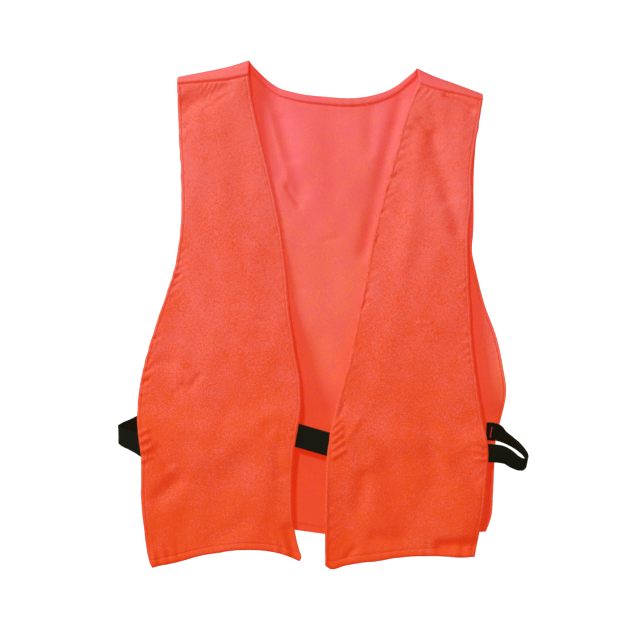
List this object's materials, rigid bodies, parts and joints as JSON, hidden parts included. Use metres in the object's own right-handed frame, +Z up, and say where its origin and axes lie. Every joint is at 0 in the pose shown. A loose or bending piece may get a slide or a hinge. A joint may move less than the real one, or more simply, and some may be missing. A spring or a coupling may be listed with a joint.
{
  "type": "blaze orange safety vest",
  "caption": "Sleeveless blaze orange cloth field vest with an open front, black elastic side straps and a short black hook-and-loop front closure, hung by its shoulders.",
  "frame": {"origin": "on the hanger: midway between the two shoulder folds, at the mean height of their neck points", "axes": "+Z up as the vest hangs, -Y towards the front that the wearer closes, +X to the right seen from the front"},
  "size_m": [0.5727, 0.0616, 0.7102],
  "materials": {
    "orange_cloth": "matte",
    "orange_thread": "satin",
    "black_elastic": "matte",
    "black_webbing": "matte",
    "black_hook_tape": "matte",
    "black_loop_tape": "matte"
  },
  "bodies": {
    "root": {"back_panel": "orange_cloth", "back_neck_facing": "orange_cloth", "back_neck_stitching": "orange_thread", "back_hem_stitching": "orange_thread", "back_side_stitching": "orange_thread", "left_side_strap": "black_elastic", "right_side_strap": "black_elastic", "left_strap_back_tack": "orange_thread", "right_strap_back_tack": "orange_thread"},
    "left_shoulder": {"left_shoulder_seam": "orange_cloth"},
    "right_shoulder": {"right_shoulder_seam": "orange_cloth"},
    "left_front": {"left_front_panel": "orange_cloth", "left_front_edge_stitching": "orange_thread", "left_hem_stitching": "orange_thread", "left_side_edge_stitching": "orange_thread", "left_strap_front_tack": "orange_thread", "closure_tab_base": "black_webbing", "closure_tab_stitching": "orange_thread"},
    "right_front": {"right_front_panel": "orange_cloth", "right_front_edge_stitching": "orange_thread", "right_hem_stitching": "orange_thread", "right_side_edge_stitching": "orange_thread", "right_strap_front_tack": "orange_thread", "loop_tape": "black_loop_tape", "loop_tape_stitching": "orange_thread"},
    "closure_flap": {"closure_tab": "black_webbing", "hook_tape": "black_hook_tape"}
  },
  "joints": [
    {"name": "front_lift", "type": "hinge", "parent": "root", "child": "left_shoulder", "pos_m": [0, -0.0134, -0.0094], "axis": [-1, 0, 0], "range_deg": [0, 15], "deforming": ["left_side_strap", "right_side_strap"]},
    {"name": "right_front_lift", "type": "hinge", "parent": "root", "child": "right_shoulder", "pos_m": [0, -0.0134, -0.0094], "axis": [-1, 0, 0], "range_deg": [0, 15], "deforming": ["right_side_strap"]},
    {"name": "left_front_swing", "type": "hinge", "parent": "left_shoulder", "child": "left_front", "pos_m": [-0.102, -0.01341, -0.0097], "axis": [0, 0.9994, -0.0349], "range_deg": [0, 12]},
    {"name": "right_front_swing", "type": "hinge", "parent": "right_shoulder", "child": "right_front", "pos_m": [0.136, -0.0138, -0.0209], "axis": [0, -0.9994, 0.0349], "range_deg": [0, 12]},
    {"name": "closure_peel", "type": "hinge", "parent": "left_front", "child": "closure_flap", "pos_m": [-0.04661, -0.02948, -0.51582], "axis": [0.2756, 0.0335, 0.9607], "range_deg": [0, 26]}
  ],
  "couplings": [
    {"joint": "right_front_lift", "follows": "front_lift", "ratio": 1}
  ]
}
